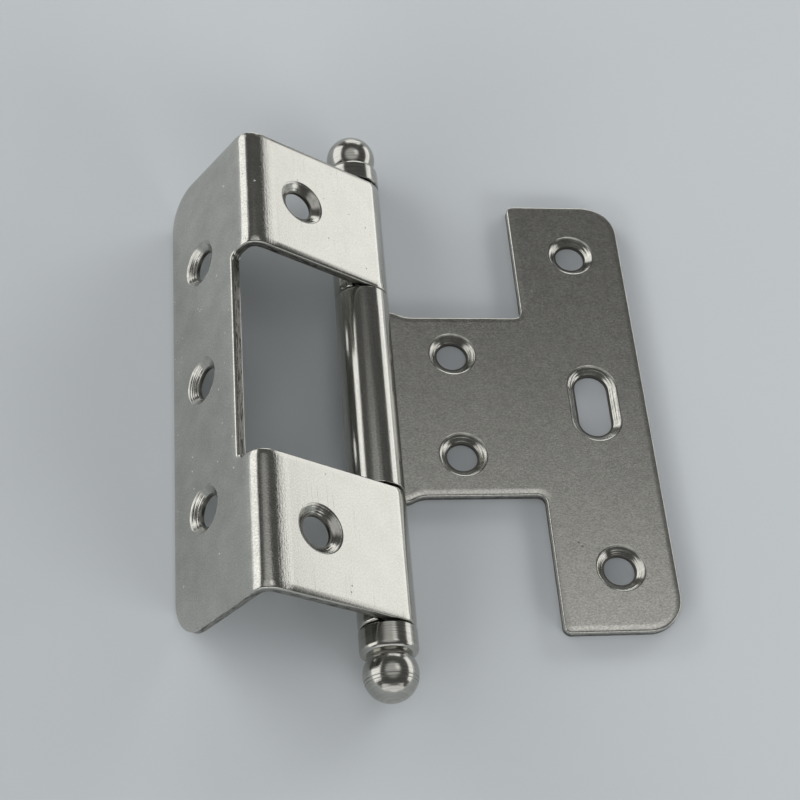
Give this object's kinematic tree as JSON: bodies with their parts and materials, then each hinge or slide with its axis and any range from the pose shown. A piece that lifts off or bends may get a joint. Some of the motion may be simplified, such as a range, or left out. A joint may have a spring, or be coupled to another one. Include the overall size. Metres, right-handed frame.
{
  "type": "ball tip wrap-around cabinet hinge",
  "caption": "Open cabinet hinge: a T-shaped frame leaf, a folded door leaf that wraps a door's edge and back, and a pin with ball tips.",
  "frame": {"origin": "on the back face of the frame leaf, on the hinge's line of symmetry, midway between the neck's holes and the bar's", "axes": "+X away from the pin along the frame leaf, +Y along the pin, +Z out of the frame leaf's screw-head face"},
  "size_m": [0.073, 0.0972, 0.0191],
  "materials": {
    "frame_leaf_nickel": "bright nickel plate with a satin, faintly brushed and pitted face",
    "door_leaf_nickel": "bright nickel plate, smooth, with fine scratches",
    "pin_steel": "plain bright steel",
    "tip_nickel": "polished bright nickel plate, turned"
  },
  "bodies": {
    "frame_side": {"frame_leaf": "frame_leaf_nickel", "hinge_pin": "pin_steel", "upper_ball_tip": "tip_nickel", "lower_ball_tip": "tip_nickel"},
    "door_side": {"door_leaf": "door_leaf_nickel"}
  },
  "joints": [
    {"name": "hinge_pivot", "type": "hinge", "parent": "frame_side", "child": "door_side", "pos_m": [-0.02475, 0, 0.00415], "axis": [0, 1, 0], "range_deg": [-163, 157]}
  ]
}
